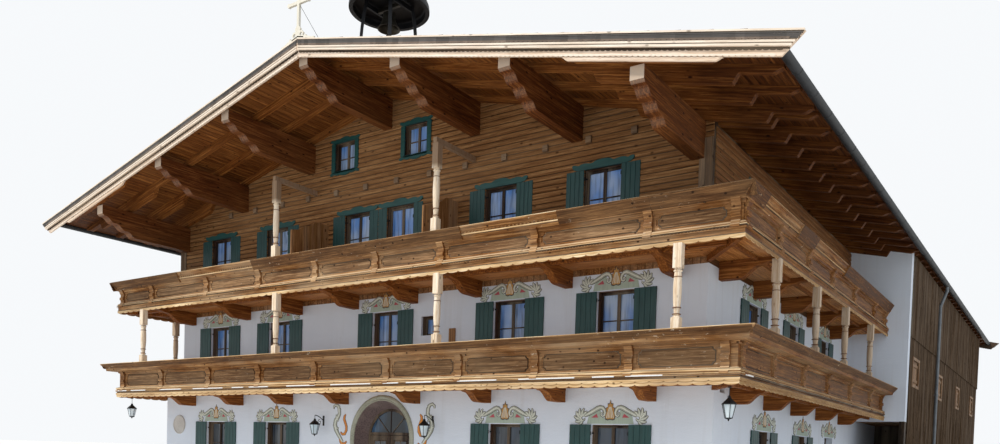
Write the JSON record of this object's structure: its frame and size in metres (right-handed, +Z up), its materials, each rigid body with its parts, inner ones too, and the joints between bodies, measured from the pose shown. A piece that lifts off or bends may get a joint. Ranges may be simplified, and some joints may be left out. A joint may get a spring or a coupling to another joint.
{
  "type": "alpine chalet",
  "caption": "Wide-roofed farmhouse with rendered storeys, a log storey, carved balconies, a barn behind, opening doors and a bell turret.",
  "frame": {"origin": "on the ground under the middle of the roof", "axes": "+Z up, +Y along the ridge from the front gable to the barn, +X to the right seen from the front"},
  "size_m": [23.38, 39.3, 13.91],
  "materials": {
    "render": "lime render, matt, brushed",
    "portal_stone": "speckled reddish stone with a grey band",
    "floor_stone": "stone flags",
    "door_wood": "dark stained wood, satin",
    "floor_wood": "planed boards",
    "log_wood": "sunburnt squared logs",
    "barn_boards": "weathered grey vertical boards",
    "window_wood": "dark brown frames with glass",
    "barn_window_wood": "pale brown boards",
    "shutter_paint": "dark green paint, satin",
    "larch": "oiled larch, weathered by the sun",
    "larch_pale": "pale larch",
    "shingle": "wooden shingles",
    "gutter_metal": "dark painted sheet metal",
    "pipe_metal": "blue-grey painted pipe",
    "white_paint": "off-white paint",
    "crest_wood": "carved wood, painted off-white",
    "black_metal": "black paint, satin",
    "bell_metal": "dark cast bell",
    "lantern_iron": "black wrought iron with glass",
    "plaque_stone": "plain round stone plaque"
  },
  "bodies": {
    "house": {"ground_wall_left": "render", "ground_wall_right": "render", "ground_walls_over_doors": "render", "ground_side_wall_left": "render", "ground_side_wall_front": "render", "ground_side_wall_rear": "render", "door_portal": "portal_stone", "door_frames": "door_wood", "ground_floor": "floor_stone", "first_floor": "floor_wood", "second_floor": "floor_wood", "attic_floor": "floor_wood", "first_front_wall": "render", "first_side_walls": "render", "log_front_wall": "log_wood", "log_side_walls": "log_wood", "return_walls": "render", "barn_lower_walls": "barn_boards", "barn_upper_walls": "barn_boards", "barn_rear_wall": "barn_boards", "barn_rear_gable": "barn_boards", "windows": "window_wood", "barn_windows": "barn_window_wood", "shutters": "shutter_paint", "carved_lintels": "shutter_paint", "balcony_decks": "larch", "lower_parapet": "larch", "upper_parapet": "larch", "console_beams": "larch", "balcony_posts": "larch_pale", "privacy_screens": "larch", "purlins": "larch", "rafters": "larch", "roof_left": "shingle", "roof_right": "shingle", "verge_boards": "larch_pale", "gutters": "gutter_metal", "downpipes": "pipe_metal", "gable_cross": "white_paint", "gable_crest": "crest_wood", "bell_turret": "black_metal", "bell_canopy": "black_metal", "lanterns": "lantern_iron", "wall_plaque": "plaque_stone"},
    "entrance_leaf_left": {"door_leaf_left": "door_wood"},
    "entrance_leaf_right": {"door_leaf_right": "door_wood"},
    "side_door": {"side_door_leaf": "door_wood"},
    "bell_body": {"bell": "bell_metal"}
  },
  "joints": [
    {"name": "entrance_left_hinge", "type": "hinge", "parent": "house", "child": "entrance_leaf_left", "pos_m": [-0.485, -16.269, 1], "axis": [0, 0, 1], "range_deg": [0, 90]},
    {"name": "entrance_right_hinge", "type": "hinge", "parent": "house", "child": "entrance_leaf_right", "pos_m": [0.985, -16.269, 1], "axis": [0, 0, -1], "range_deg": [0, 90]},
    {"name": "side_door_hinge", "type": "hinge", "parent": "house", "child": "side_door", "pos_m": [9.089, -7.49, 1], "axis": [0, 0, 1], "range_deg": [0, 90]},
    {"name": "bell_swing", "type": "hinge", "parent": "house", "child": "bell_body", "pos_m": [0, -16.55, 13.22], "axis": [1, 0, 0], "range_deg": [-25, 25]}
  ]
}
